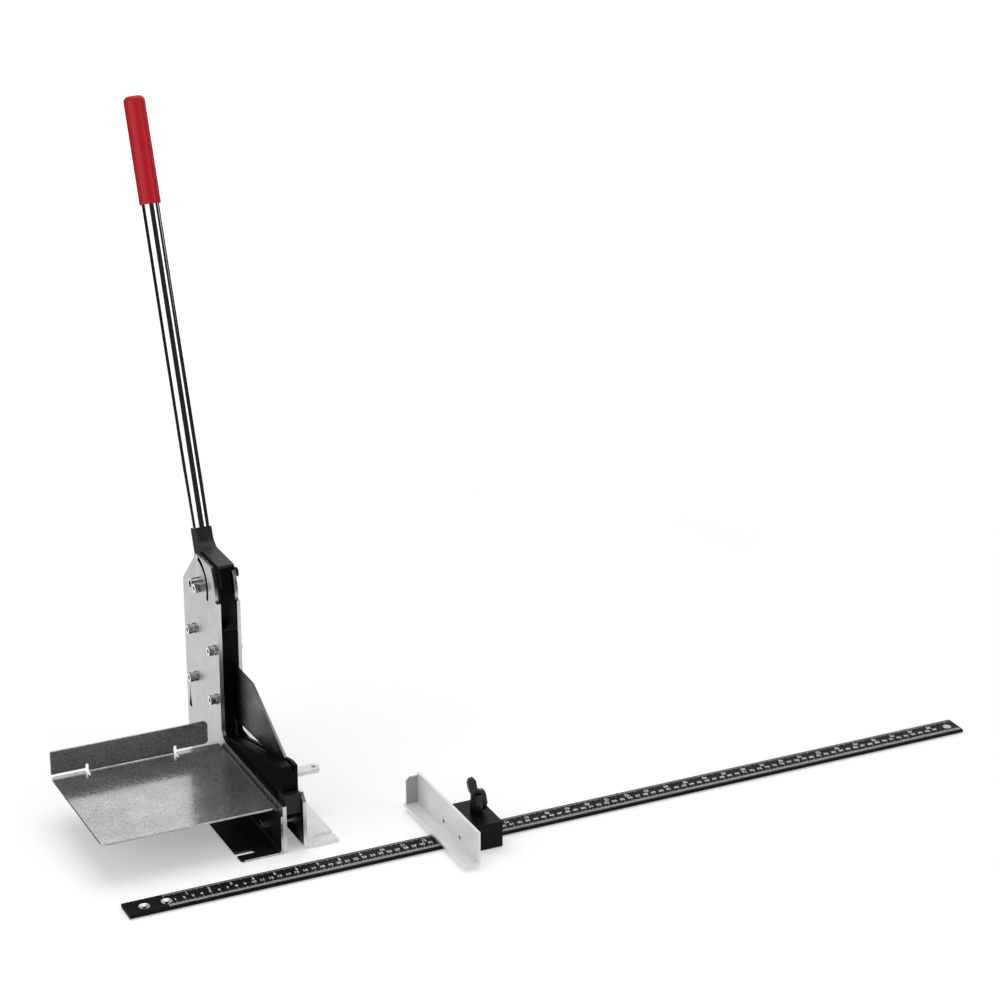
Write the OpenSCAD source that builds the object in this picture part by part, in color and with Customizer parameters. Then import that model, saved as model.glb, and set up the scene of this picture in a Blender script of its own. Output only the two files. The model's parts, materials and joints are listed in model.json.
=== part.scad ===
// Bench cutter for wiring duct, with its length stop lying loose in front of it.
// X runs along the duct feed, Y to the back and Z up, in millimetres.
// The origin is on the bench, under the middle of the left bench flange.

/* [Side plates] */
// Thickness of the left side plate
left_plate_t = 4.5; // [3:0.5:6]
// Thickness of the right side plate and its bent foot
right_plate_t = 4; // [3:0.5:5]
// Clear gap between the two side plates
plate_gap = 19.5; // [18:0.5:22]
// Reach of the legs in front of the column
leg_reach = 187.5; // [187:0.5:215]
// Depth of the column from front to back
column_d = 112.5; // [112:0.5:130]
// Height of the column
column_h = 264.5; // [262:0.5:290]
// Height of the left leg
left_leg_h = 58; // [54:1:62]
// Height of the right leg
right_leg_h = 67; // [60:1:72]
// Chamfer at the rear top of the column
rear_chamfer = 48; // [36:1:49]
// Radius of the plates' round nose about the pivot
plate_nose_r = 57; // [54:0.5:58]
// Step from the round nose to the column's front, below the pivot
nose_drop = 3; // [3:0.5:8]
// Fillet where the column rises from a leg
column_fillet = 14; // [6:1:20]
// Chamfer at the front of the right leg
leg_chamfer = 9; // [4:1:14]
// Width of the tapered slit near the rear edge
slit_w = 9; // [4:0.5:11]
// Height of the tapered slit
slit_h = 25; // [15:1:30]
// Width of the right foot beyond its plate
foot_w = 38; // [34:1:50]
// Length of the right foot and of the left bench flange
foot_len = 190; // [180:1:194]

/* [Feed table] */
// Width of the table along the feed
table_w = 204.5; // [180:0.5:240]
// Front edge of the table, behind the front of the legs
table_front = 13; // [8:1:30]
// Back edge of the table, behind the front of the legs
table_back = 190; // [170:1:193]
// Height of the table top above the bench
table_h = 52; // [46:1:54]
// Thickness of the bent sheet
sheet_t = 2.5; // [2:0.25:3]
// Outer bend radius of the sheet
bend_r = 5.5; // [4:0.5:7]
// Height of the fence top above the table top
fence_h = 32; // [24:1:40]
// Slit between the fence's free tabs and the table
fence_slit = 3.8; // [3.4:0.2:6]
// Length of the fence's left free tab
fence_tab_left = 42.5; // [20:0.5:60]
// Length of the fence's right free tab
fence_tab_right = 40; // [20:1:60]
// Reach of the bend's relief slits into the table
relief_reach = 9; // [5:0.5:14]
// Rise of the bend's relief slits into the fence
relief_rise = 9; // [6:0.5:14]
// Gap from the fence's right end to the left plate
fence_end_gap = 17; // [12:1:25]
// Corner radius of the fence and the table
sheet_corner = 5; // [2:0.5:8]
// Width of the left bench flange
flange_w = 50; // [42:1:60]
// Width of the bench slots
bench_slot_w = 8; // [7:0.5:13]
// Depth of the bench slots, from the edge to the slot's centre
bench_slot_depth = 18; // [10:1:20]
// Distance of a bench slot from the nearer end of its flange
bench_slot_inset = 17; // [12:1:30]

/* [Pivot and lever] */
// Pivot behind the front of the column
pivot_inset = 62.5; // [61:0.5:62.5]
// Pivot below the top of the column
pivot_drop = 35.5; // [35.5:0.5:38.5]
// Diameter of the pivot bolt
pivot_d = 10; // [9:0.5:10.5]
// Diameter of the pivot bolt's head
pivot_head_d = 12.5; // [12.5:0.5:15]
// Height of the pivot bolt's head
pivot_head_h = 9.5; // [6:0.5:10]
// Distance of the keeper screw in front of the pivot
keeper_gap = 13; // [12.5:0.5:16]
// Drop of the keeper screw below the pivot
keeper_drop = 0.5; // [0:0.5:4]
// Radius of the arc slots about the pivot
arc_r = 31.5; // [30:0.5:31.5]
// Diameter of the stop pin that runs in the arc slots
stop_pin_d = 5.6; // [4.6:0.2:5.6]
// Swing of the lever, in degrees
lever_swing = 105; // [90:1:106]
// Lean of the lever behind the vertical at rest, in degrees
lever_lean = 20.3; // [15:0.1:24]
// Length of the lever from the pivot to the end of its grip
lever_len = 561; // [480:1:620]
// Outer diameter of the lever tube
tube_d = 20; // [19:0.5:22]
// Wall of the lever tube
tube_wall = 2; // [1.5:0.25:3]
// Distance from the pivot to the lower end of the tube
neck_len = 62; // [62:0.5:70]
// Depth of the lever's neck
neck_d = 20; // [19:0.5:24]
// Length of the spigot inside the tube
spigot_len = 45; // [30:1:60]
// Height of the head's flat top above the pivot
head_top = 41; // [39:0.5:43]
// Largest radius of the head's nose
head_nose_r = 70.5; // [68:0.5:71]
// Radius of the head's hub
hub_r = 24; // [22:0.5:26]
// Radius of the head's round cheek between the plates
cheek_r = 61.5; // [58:0.5:61.5]
// Diameter of the grip
grip_d = 26; // [24:0.5:30]
// Length of the grip
grip_len = 128; // [100:1:160]
// Rounding at the grip's end
grip_round = 6; // [3:0.5:9]
// Closed end of the grip beyond the tube
grip_cap = 10; // [8:0.5:14]

/* [Blade drive] */
// Travel of the blade over the full swing
blade_stroke = 30; // [26:0.5:31]
// Radius of the cam track at rest
cam_r = 17; // [16.5:0.5:18]
// Diameter of the follower roller
follower_d = 8; // [6:0.5:8]
// Wall outside the cam track
cam_wall = 5; // [3:0.5:5.5]

/* [Blade and die] */
// Thickness of the blade
blade_t = 3; // [2:0.25:3.5]
// Height of the blade's top edge above the bench
blade_top = 149; // [146:0.5:152]
// Height of the cutting edge at the column
blade_edge_rear = 81; // [79:0.5:86]
// Height of the cutting edge at the tip
blade_edge_tip = 86.5; // [85:0.5:92]
// Height of the blade's tip
blade_tip_h = 100; // [97:0.5:104]
// Blade tip behind the front of the legs
blade_tip_y = 33; // [29:0.5:40]
// Length of the level top in front of the column
blade_knee = 58; // [50:0.5:76]
// Reach of the blade behind the rear column screws
blade_tail = 12; // [10:0.5:16]
// Radius of the eye on the blade's upright arm
blade_arm_r = 7; // [6:0.5:7.5]
// Thickness of the die's left bar
die_left_t = 12; // [9:0.5:12]
// Front of the die, behind the front of the legs
die_front = 13; // [8:0.5:14]
// Height of the die's top at the front
die_front_h = 99; // [96:0.5:104]
// Height of the die's top at the column
die_rear_h = 60.5; // [60:0.5:68]
// Thickness of the die's front wall
die_wall = 14; // [10:0.5:14]
// Height of the front wall's underside
die_under = 68; // [62:0.5:74]
// Depth of the notch in the front wall
die_notch = 7; // [4:0.5:10]
// Front face of the base spacer, behind the front of the legs
spacer_front = 5; // [3:0.5:11]
// Rear face of the base spacer, behind the front of the legs
spacer_rear = 184; // [160:1:186]
// Height of the base spacer's underside
spacer_low = 34; // [28:1:36]
// Height of the base spacer's top behind its raised front
spacer_top = 52; // [50:0.5:53]
// Height of the underside of the spacer's raised front
spacer_nose_low = 44; // [40:0.5:46]
// Depth of the front guide bar
guide_d = 20; // [18.5:0.5:20]
// Height of the guide bar's lower end
guide_low = 40; // [30:1:44]

/* [Fasteners] */
// Diameter of the clamping screws
screw_d = 6; // [5:0.5:6]
// Diameter of a screw head
screw_head_d = 11; // [10:0.5:11]
// Height of a screw head
screw_head_h = 6.5; // [5:0.5:7]
// Thickness of a washer
washer_t = 1.6; // [1:0.1:2]
// Diameter of a washer
washer_d = 12.5; // [12:0.5:13]
// Width of a nut across its flats
nut_af = 10; // [10:0.5:11]
// Thickness of a nut
nut_t = 5; // [4:0.5:6]
// Diameter of the spacer sleeves
sleeve_d = 10; // [9:0.5:11]
// Front column screws behind the front of the column
screw_front = 14.5; // [13:0.5:15]
// Rear column screws in front of the back of the column
screw_rear = 30; // [29:0.5:32]
// Height of the lower column screws
screw_low = 102; // [101:0.5:106]
// Height of the upper column screws
screw_high = 163.5; // [162:0.5:164]
// Side screw of the right plate in front of the pivot
side_screw_y = 38; // [36:0.5:42]
// Side screw of the right plate above the pivot
side_screw_z = 22; // [18:0.5:24]
// Height of the base bolts
base_bolt_h = 16; // [14:0.5:20]
// Base bolts from the nearer end of the foot
base_bolt_inset = 46; // [36:1:60]

/* [Length stop] */
// Length of the rail
rail_len = 1047; // [800:1:1200]
// Width of the rail
rail_w = 31; // [28:0.5:36]
// Thickness of the rail
rail_t = 4.2; // [3.6:0.2:6]
// Undercut of the rail's lower edges
rail_undercut = 1.8; // [1:0.1:2.2]
// Gap between the rail and the front of the legs
rail_gap = 36; // [30:1:60]
// Rail's left end, left of the left plate
rail_left = 202; // [150:1:250]
// Width of the scale strip
scale_w = 26; // [22:0.5:27]
// Thickness of the scale strip
scale_t = 0.6; // [0.4:0.1:0.8]
// First rail screw from the rail's left end
rail_screw_x = 21; // [15:0.5:30]
// Diameter of the rail screws' heads
rail_head_d = 12.4; // [10:0.2:13]
// Pitch of the rail screws and of the arm's holes
rail_screw_pitch = 25.3; // [22:0.1:30]
// Hanging hole from the rail's right end
rail_hole_x = 13; // [10:0.5:20]
// Diameter of the hanging hole
rail_hole_d = 10; // [6:0.5:12]
// Stop face from the rail's left end
stop_x = 384; // [300:1:600]
// Width of the carriage block along the rail
block_w = 44; // [36:1:60]
// Length of the carriage block across the rail
block_d = 62; // [56:1:70]
// Overhang of the block in front of the rail
block_front = 21; // [18:0.5:24]
// Height of the carriage block
block_h = 31; // [26:1:36]
// Length of the stop angle
angle_len = 163; // [130:1:180]
// Overhang of the stop angle in front of the rail
angle_front = 57; // [45:1:60]
// Height of the stop angle's upright leg
angle_h = 40; // [34:1:46]
// Width of the stop angle's foot
angle_w = 20; // [18:1:24]
// Thickness of the stop angle
angle_t = 3.5; // [3:0.25:4]
// Width of the end stop
end_w = 14; // [10:0.5:15]
// Height of the end stop
end_h = 33; // [28:0.5:34]
// Thickness of the end stop
end_t = 3; // [2:0.25:4]
// Diameter of the knob's hub
knob_d = 15; // [13:0.5:17]
// Height of the knob's hub
knob_h = 24; // [18:0.5:28]
// Height of the knob's wing above its hub
wing_h = 20; // [16:0.5:24]
// Diameter of the knob's clamp screw
knob_screw_d = 8; // [6:0.5:8]

/* [Support arm] */
// Length of the arm beyond the right plate
arm_len = 51.5; // [48:0.5:60]
// Width of the arm
arm_w = 15; // [13:0.5:18]
// Thickness of the arm
arm_t = 5; // [4:0.5:5.5]
// Middle of the arm, behind the front of the legs
arm_y = 88; // [82:1:100]
// Height of the arm's top
arm_top = 52; // [48:0.5:54]
// Height of the arm's bolted leg
arm_drop = 34; // [30:1:38]
// Distance of the outer hole from the arm's end
arm_hole_inset = 7; // [6.5:0.5:9]

/* [Fits] */
// Running clearance of a hinge, on the radius
run_clear = 0.05; // [0.02:0.01:0.08]
// Clearance of a sliding or rolling piece
slide_clear = 0.3; // [0.2:0.05:0.4]
// Clearance beside the blade
blade_clear = 0.25; // [0.2:0.05:0.35]
// Clearance of a screw in its hole, on the radius
hole_clear = 0.2; // [0.1:0.05:0.3]
// Clearance of a fixed pin in its seat, on the radius
pin_clear = 0.02; // [0.01:0.01:0.04]

/* [Hidden] */
$fn = 48;

// Middle of the left bench flange, where the origin sits
origin_x = -flange_w / 2;
origin_y = foot_len / 2;

// Stations across the feed
gap_x0 = left_plate_t;
gap_x1 = left_plate_t + plate_gap;
right_x1 = gap_x1 + right_plate_t;
blade_x0 = gap_x0 + die_left_t + blade_clear;
blade_x1 = blade_x0 + blade_t;
head_x0 = gap_x0 + slide_clear;
head_x1 = gap_x1 - slide_clear;
cam_x1 = blade_x0 - slide_clear;
lever_x = gap_x0 + plate_gap / 2;

// Stations from front to back
column_y0 = leg_reach;
column_y1 = leg_reach + column_d;
pivot_y = column_y0 + pivot_inset;
pivot_h = column_h - pivot_drop;
foot_slots_y = [bench_slot_inset, foot_len - bench_slot_inset];
base_bolts_y = [base_bolt_inset, foot_len - base_bolt_inset];
column_screws_y = [column_y0 + screw_front, column_y1 - screw_rear];
column_screws_z = [screw_low, screw_high];
die_screw_inset = 40;
spacer_screw_inset = 20;
spacer_nose_y = die_front + die_wall - 1;
die_screws_y = [spacer_nose_y + die_screw_inset, spacer_rear - die_screw_inset];
spacer_screws_y = [spacer_nose_y + spacer_screw_inset, spacer_rear - spacer_screw_inset];

// Cam: the follower drops in proportion to the swing, along the line under the pivot
cam_pitch = blade_stroke / lever_swing;
cam_slope = cam_pitch * 180 / PI;
track_half = follower_d / 2 + slide_clear;
cam_steps = 28;
nose_low_angle = lever_swing - 91;
cover_angle = lever_swing - 75;
follower_z = pivot_h - cam_r;
far = 3 * head_nose_r;

// Grooves and holes
end_relief = 0.15;
blade_groove_x = blade_x0 - blade_clear;
blade_groove_w = blade_t + 2 * blade_clear;
groove_low = blade_edge_rear - blade_stroke - 6;
thread_len = 12;
foot_bend = right_plate_t + 2;
spigot_d = tube_d - 2 * tube_wall - 2 * run_clear;
small_d = 5;
small_head_d = 8.5;
small_head_h = 4.5;

// Length stop stations
rail_y0 = -rail_gap - rail_w;
rail_x0 = -rail_left;
block_x0 = rail_x0 + stop_x;
block_y0 = rail_y0 - block_front;
block_low = 0.4;
block_top = block_low + block_h;
angle_low = rail_t + slide_clear + 0.1;
angle_y0 = rail_y0 - angle_front;
knob_x = block_x0 + block_w * 0.6;
knob_y = block_y0 + block_d / 2;
angle_screw_z = angle_low + angle_h * 0.3;
angle_screws_y = [block_y0 + 11, block_y0 + block_d - 8];
pad_clear = 0.3;
rail_mid_y = rail_y0 + rail_w / 2;
rail_screws_x = [rail_x0 + rail_screw_x, rail_x0 + rail_screw_x + rail_screw_pitch];
sink_h = 2.4;
rail_sink_h = 3.2;
angle_grip = 10;
wing_t = 6;

// Sheet and bracket stations
fence_x0 = -table_w + fence_tab_left;
fence_x1 = -fence_end_gap - fence_tab_right;
fence_z0 = table_h - sheet_t + bend_r;
relief_r = 1.8;
arm_leg_t = 4;
arm_screws_z = [arm_top - arm_drop + 8, arm_top - arm_t - 7];

// Pieces between the plates
guide_top = screw_high + 26;
die_screw_x = (gap_x0 + blade_groove_x) / 2;
spacer_screw_z = groove_low - 5;
spacer_grip = 9;
neck_wedge = 8;
follower_pin_d = follower_d - 2;
tube_len = lever_len - grip_cap - neck_len;
pivot_thread_d = 8;
pivot_nut_af = 13;
pivot_nut_t = 6.5;

// A direction in the plates' plane: 0 is to the front, 90 is up
function aim(a) = [-cos(a), sin(a)];
// A point across and along the lever at rest
function lean(x, y) =
    let (c = cos(lever_lean), s = sin(lever_lean)) [x * c + y * s, y * c - x * s];
// The cam track's middle line and its normal, after the lever has turned by t
function track_r(t) = cam_r + cam_pitch * t;
function track(t) = track_r(t) * aim(t - 90);
function turn_dir(a) = [sin(a), cos(a)];
function track_normal(t) =
    let (r = track_r(t), n = r * aim(t - 90) - cam_slope * turn_dir(t - 90)) n / norm(n);

module place() translate([-origin_x, -origin_y, 0]) children();

// A flat outline in the plates' plane, given its thickness across the feed
module plate_at(x, t) translate([x, 0, 0]) rotate([90, 0, 90]) linear_extrude(t) children();

module rod_x(x0, x1, r) translate([x0, 0, 0]) rotate([0, 90, 0]) cylinder(h = x1 - x0, r = r);

module at_pivot() translate([0, pivot_y, pivot_h]) children();

module sector(r, a0, a1) {
    steps = 16;
    polygon(concat([[0, 0]], [for (i = [0:steps]) r * aim(a0 + (a1 - a0) * i / steps)]));
}

// Screw along X with its head on the left of its seat
module cap_screw(len, d = screw_d, head_d = screw_head_d, head_h = screw_head_h) {
    difference() {
        rod_x(-head_h, 0, head_d / 2);
        translate([-head_h - 1, 0, 0]) rotate([0, 90, 0])
            cylinder(h = head_h / 2 + 1, d = d * 0.95, $fn = 6);
    }
    rod_x(-0.01, len, d / 2);
}

module nut(d = screw_d, af = nut_af, t = nut_t) {
    difference() {
        rotate([0, 90, 0]) cylinder(h = t, d = af / cos(30), $fn = 6);
        rod_x(-1, t + 1, d / 2 + hole_clear / 2);
    }
}

// A rounded bend of sheet in its section, in the quadrant that qx and qz name
module bend_ring(r, t, qx, qz) {
    intersection() {
        difference() {
            circle(r);
            circle(r - t);
        }
        translate([qx < 0 ? -r - 1 : 0, qz < 0 ? -r - 1 : 0]) square(r + 1);
    }
}

// A section in the XZ plane, drawn out along Y
module run_y(y0, y1) translate([0, y1, 0]) rotate([90, 0, 0]) linear_extrude(y1 - y0) children();

module arc_slot() {
    half = stop_pin_d / 2 + slide_clear;
    translate([pivot_y, pivot_h]) {
        intersection() {
            difference() {
                circle(arc_r + half);
                circle(arc_r - half);
            }
            sector(2 * arc_r, 90, 90 - lever_swing);
        }
        for (a = [90, 90 - lever_swing]) translate(arc_r * aim(a)) circle(half + end_relief);
    }
}

module side_outline(leg_h, front_chamfer) {
    difference() {
        polygon([[0, 0], [column_y1, 0], [column_y1, column_h - rear_chamfer],
            [column_y1 - rear_chamfer, column_h], [column_y0, column_h], [column_y0, leg_h],
            [front_chamfer, leg_h], [0, leg_h - front_chamfer]]);
        difference() {
            translate([column_y0 - 1, pivot_h - nose_drop])
                square([pivot_inset + 1, pivot_drop + nose_drop + 1]);
            translate([pivot_y, pivot_h]) circle(plate_nose_r);
        }
    }
    difference() {
        translate([column_y0 - column_fillet, leg_h - 1]) square([column_fillet + 1, column_fillet + 1]);
        translate([column_y0 - column_fillet, leg_h + column_fillet]) circle(column_fillet + end_relief);
    }
}

module side_holes() {
    arc_slot();
    translate([pivot_y, pivot_h]) circle(pivot_d / 2 + pin_clear);
    for (y = column_screws_y, z = column_screws_z) translate([y, z]) circle(screw_d / 2 + hole_clear);
    for (y = base_bolts_y) translate([y, base_bolt_h]) circle(screw_d / 2 + hole_clear);
}

module tapered_slit() {
    translate([column_y1 - 10, left_leg_h - 3])
        polygon([[-slit_w / 2, 0], [slit_w / 2, 0], [0.4, slit_h], [-0.4, slit_h]]);
}

module left_plate() {
    color("silver") place() plate_at(0, left_plate_t) difference() {
        side_outline(left_leg_h, 0.5);
        side_holes();
        tapered_slit();
        translate([pivot_y - keeper_gap, pivot_h - keeper_drop]) circle(screw_d / 2 + pin_clear);
    }
}

module bench_slots(edge_x, inward) {
    for (y = foot_slots_y) translate([edge_x, y]) {
        translate([inward * bench_slot_depth, 0]) circle(d = bench_slot_w);
        translate([min(0, inward * bench_slot_depth) - 1, -bench_slot_w / 2])
            square([bench_slot_depth + 1 + (inward < 0 ? 1 : 0), bench_slot_w]);
    }
}

module right_plate() {
    edge_x = right_x1 + foot_w;
    flange_x0 = gap_x1 + foot_bend;
    color("silver") place() {
        plate_at(gap_x1, right_plate_t) difference() {
            side_outline(right_leg_h, leg_chamfer);
            side_holes();
            translate([-1, -1]) square([foot_len + 1, foot_bend + 1]);
            translate([pivot_y - side_screw_y, pivot_h + side_screw_z]) circle(screw_d / 2 + pin_clear);
            for (z = arm_screws_z) translate([arm_y, z]) circle(small_d / 2 + pin_clear);
            for (y = spacer_screws_y) translate([y, spacer_screw_z]) circle(screw_d / 2 + hole_clear);
        }
        run_y(0, foot_len) translate([flange_x0, foot_bend]) bend_ring(foot_bend, right_plate_t, -1, -1);
        linear_extrude(right_plate_t) difference() {
            translate([flange_x0, 0]) square([edge_x - flange_x0, foot_len]);
            bench_slots(edge_x, -1);
        }
    }
}

// Fence outline along the feed: free tabs at both ends, joined to the table between them
module fence_outline() {
    x0 = -table_w;
    x1 = -fence_end_gap;
    low = table_h + fence_slit;
    top = table_h + fence_h;
    c = sheet_corner;
    translate([x0, low]) square([x1 - x0 - c, top - low]);
    translate([x1 - c - 1, low + c]) square([c + 1, top - low - 2 * c]);
    for (z = [low + c, top - c]) translate([x1 - c, z]) circle(c);
    translate([x0 + fence_tab_left, fence_z0]) square([fence_x1 - x0 - fence_tab_left, low - fence_z0 + 1]);
}

module table_flat() {
    c = sheet_corner;
    difference() {
        union() {
            translate([-table_w + c, table_front]) square([table_w - c - bend_r, table_back - table_front]);
            translate([-table_w, table_front + c]) square([c + 1, table_back - table_front - 2 * c]);
            for (y = [table_front + c, table_back - c]) translate([-table_w + c, y]) circle(c);
        }
        translate([fence_x0, table_back - bend_r]) square([fence_x1 - fence_x0, bend_r + 1]);
        for (x = [fence_x0, fence_x1]) translate([x, table_back - bend_r])
            polygon([[-relief_r, bend_r + 1], [-relief_r, -1], [-0.6, -relief_reach], [0.6, -relief_reach],
                [relief_r, -1], [relief_r, bend_r + 1]]);
    }
}

module flange_flat() {
    c = sheet_corner;
    difference() {
        union() {
            translate([-flange_w + c, 0]) square([flange_w - c - bend_r, foot_len]);
            translate([-flange_w, c]) square([c + 1, foot_len - 2 * c]);
            for (y = [c, foot_len - c]) translate([-flange_w + c, y]) circle(c);
        }
        bench_slots(-flange_w, 1);
    }
}

module feed_table() {
    color("gainsboro") place() difference() {
        union() {
            translate([0, 0, table_h - sheet_t]) linear_extrude(sheet_t) table_flat();
            run_y(table_front, table_back) translate([-bend_r, table_h - bend_r])
                bend_ring(bend_r, sheet_t, 1, 1);
            translate([-sheet_t, 0, bend_r]) cube([sheet_t, foot_len, table_h - 2 * bend_r]);
            run_y(0, foot_len) translate([-bend_r, bend_r]) bend_ring(bend_r, sheet_t, 1, -1);
            linear_extrude(sheet_t) flange_flat();
            plate_at(fence_x0 + relief_r, fence_x1 - fence_x0 - 2 * relief_r)
                translate([table_back - bend_r, fence_z0]) bend_ring(bend_r, sheet_t, 1, -1);
            translate([0, table_back, 0]) rotate([90, 0, 0]) linear_extrude(sheet_t) difference() {
                fence_outline();
                for (x = [fence_x0, fence_x1]) translate([x, table_h + relief_rise])
                    polygon([[-relief_r, -20], [relief_r, -20], [relief_r, -1], [relief_r - 1, 0],
                        [1 - relief_r, 0], [-relief_r, -1]]);
            }
        }
        for (y = base_bolts_y) translate([0, y, base_bolt_h])
            rod_x(-sheet_t - 1, 1, screw_d / 2 + hole_clear);
    }
}

module front_guide_bar() {
    color("#2b2a2c") place() difference() {
        translate([gap_x0, column_y0, guide_low]) cube([plate_gap, guide_d, guide_top - guide_low]);
        at_pivot() rod_x(0, right_x1, head_nose_r + 1);
        translate([blade_groove_x, column_y0 - 1, guide_low - 1])
            cube([blade_groove_w, guide_d + 2, blade_top + 1.5 - guide_low + 1]);
        for (z = column_screws_z) translate([0, column_screws_y[0], z])
            rod_x(0, right_x1, screw_d / 2 + hole_clear);
    }
}

module base_spacer() {
    color("#6f6258") place() difference() {
        plate_at(gap_x0, plate_gap) polygon([[spacer_front, spacer_nose_low],
            [spacer_nose_y, spacer_nose_low], [spacer_nose_y, spacer_low], [spacer_rear, spacer_low],
            [spacer_rear, spacer_top], [spacer_nose_y, spacer_top], [spacer_nose_y, die_under],
            [spacer_front, die_under]]);
        translate([blade_groove_x, die_front + die_wall, groove_low])
            cube([blade_groove_w, spacer_rear, spacer_top - groove_low + 1]);
        for (y = die_screws_y) translate([die_screw_x, y, spacer_low - 1])
            cylinder(h = spacer_top - spacer_low + 2, r = small_d / 2 + hole_clear);
        for (y = spacer_screws_y) translate([0, y, spacer_screw_z])
            rod_x(gap_x1 - spacer_grip, right_x1, screw_d / 2 + pin_clear);
    }
}

// Lower die: two bars with the blade's slot between them, closed by the front wall
module die_block() {
    color("#262527") place() difference() {
        plate_at(gap_x0, plate_gap) polygon([[die_front, die_under], [die_front, die_front_h],
            [die_front + die_wall, die_front_h], [column_y0, die_rear_h], [column_y0, spacer_top],
            [spacer_nose_y, spacer_top], [spacer_nose_y, die_under]]);
        translate([blade_groove_x, die_front + die_wall, spacer_top - 1])
            cube([blade_groove_w, column_y0 - die_front, die_front_h]);
        translate([blade_groove_x, die_front - 1, die_front_h - die_notch])
            cube([blade_groove_w, die_wall + 2, die_notch + 1]);
        for (y = die_screws_y) translate([die_screw_x, y, spacer_top - 1])
            cylinder(h = thread_len + 1, r = small_d / 2 + pin_clear);
    }
}

module die_screws() {
    grip = spacer_top - spacer_low + thread_len - 1;
    color("dimgray") place() for (y = die_screws_y) translate([die_screw_x, y, spacer_low])
        rotate([0, -90, 0]) cap_screw(grip, small_d, small_head_d, small_head_h);
}

module spacer_screws() {
    color("dimgray") place() for (y = spacer_screws_y) translate([right_x1, y, spacer_screw_z])
        mirror([1, 0, 0]) cap_screw(right_plate_t + spacer_grip - 1);
}

module base_bolts() {
    color("dimgray") place() for (y = base_bolts_y) translate([-sheet_t, y, base_bolt_h])
        cap_screw(sheet_t + right_x1 + nut_t + 1);
}

module sleeve() {
    difference() {
        rod_x(gap_x0, gap_x1, sleeve_d / 2);
        rod_x(gap_x0 - 1, gap_x1 + 1, screw_d / 2 + hole_clear);
    }
}

module base_sleeves() {
    color("gray") place() for (y = base_bolts_y) translate([0, y, base_bolt_h]) sleeve();
}

module base_nuts() {
    color("dimgray") place() for (y = base_bolts_y) translate([right_x1, y, base_bolt_h]) nut();
}

module at_column_screws(x) {
    for (y = column_screws_y, z = column_screws_z) translate([x, y, z]) children();
}

module column_screws() {
    color("dimgray") place() at_column_screws(-washer_t) cap_screw(washer_t + right_x1 + nut_t + 1);
}

module column_washers() {
    color("silver") place() at_column_screws(-washer_t) difference() {
        rod_x(0, washer_t, washer_d / 2);
        rod_x(-1, washer_t + 1, screw_d / 2 + hole_clear);
    }
}

module column_nuts() {
    color("dimgray") place() at_column_screws(right_x1) nut();
}

module rear_sleeves() {
    color("gray") place() for (z = column_screws_z) translate([0, column_screws_y[1], z]) sleeve();
}

module pivot_bolt() {
    color("dimgray") place() at_pivot() {
        cap_screw(right_x1, pivot_d, pivot_head_d, pivot_head_h);
        rod_x(right_x1 - 1, right_x1 + pivot_nut_t + 1, pivot_thread_d / 2);
    }
}

module pivot_nut() {
    color("dimgray") place() at_pivot() translate([right_x1, 0, 0])
        nut(pivot_thread_d, pivot_nut_af, pivot_nut_t);
}

module keeper_screw() {
    color("dimgray") place() at_pivot() translate([0, -keeper_gap, -keeper_drop])
        cap_screw(left_plate_t, head_h = pivot_head_h);
}

module side_screw() {
    color("#2b2a2c") place() at_pivot() translate([right_x1, -side_screw_y, side_screw_z])
        mirror([1, 0, 0]) cap_screw(right_plate_t);
}

module arm_outline() {
    end = right_x1 + arm_len - arm_w / 2;
    difference() {
        union() {
            translate([right_x1, arm_y - arm_w / 2]) square([end - right_x1, arm_w]);
            translate([end, arm_y]) circle(arm_w / 2);
        }
        for (i = [0, 1]) translate([right_x1 + arm_len - arm_hole_inset - i * rail_screw_pitch, arm_y])
            circle(small_d / 2 + pin_clear);
    }
}

module support_arm() {
    color("silver") place() difference() {
        union() {
            translate([0, 0, arm_top - arm_t]) linear_extrude(arm_t) arm_outline();
            translate([right_x1, arm_y - arm_w / 2, arm_top - arm_drop]) cube([arm_leg_t, arm_w, arm_drop]);
        }
        for (z = arm_screws_z) translate([0, arm_y, z])
            rod_x(right_x1 - 1, right_x1 + arm_leg_t + 1, small_d / 2 + hole_clear);
    }
}

module arm_screws() {
    color("dimgray") place() for (z = arm_screws_z) translate([right_x1 + arm_leg_t, arm_y, z])
        mirror([1, 0, 0]) cap_screw(arm_leg_t + right_plate_t, small_d, small_head_d, small_head_h);
}

// Outer shape of the cam: it follows the track at a constant wall
module cam_lobe() {
    w = track_half + cam_wall;
    polygon(concat([[0, 0]], [for (i = [0:cam_steps]) let (t = lever_swing * i / cam_steps)
        track(t) + w * track_normal(t)]));
    for (t = [0, lever_swing]) translate(track(t)) circle(w + end_relief);
}

module cam_track() {
    times = [for (i = [0:cam_steps]) lever_swing * i / cam_steps];
    polygon(concat([for (t = times) track(t) + track_half * track_normal(t)],
        [for (i = [cam_steps:-1:0]) track(times[i]) - track_half * track_normal(times[i])]));
    for (t = [0, lever_swing]) translate(track(t)) circle(track_half + end_relief);
}

module head_nose() {
    intersection() {
        circle(head_nose_r);
        polygon([[0, 0], far * aim(nose_low_angle), [-far, head_top], [neck_d / 2, head_top], [hub_r, 0]]);
    }
}

// Round cheek that closes the gap between the plates under the nose
module head_cheek() {
    intersection() {
        circle(cheek_r);
        polygon([[0, 0], far * aim(nose_low_angle + 10), far * aim(-20), far * aim(-65)]);
    }
}

// The neck, with a wedge where its front meets the flat top
module head_neck() {
    front = lean(-neck_d / 2, head_top);
    rotate(-lever_lean) translate([-neck_d / 2, 0]) square([neck_d, neck_len]);
    high = lean(1 - neck_d / 2, head_top + neck_wedge);
    low = [front[0] - neck_wedge, head_top];
    polygon([high, low + 0.15 * (low - high), [front[0], 0], lean(0, head_top)]);
}

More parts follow.
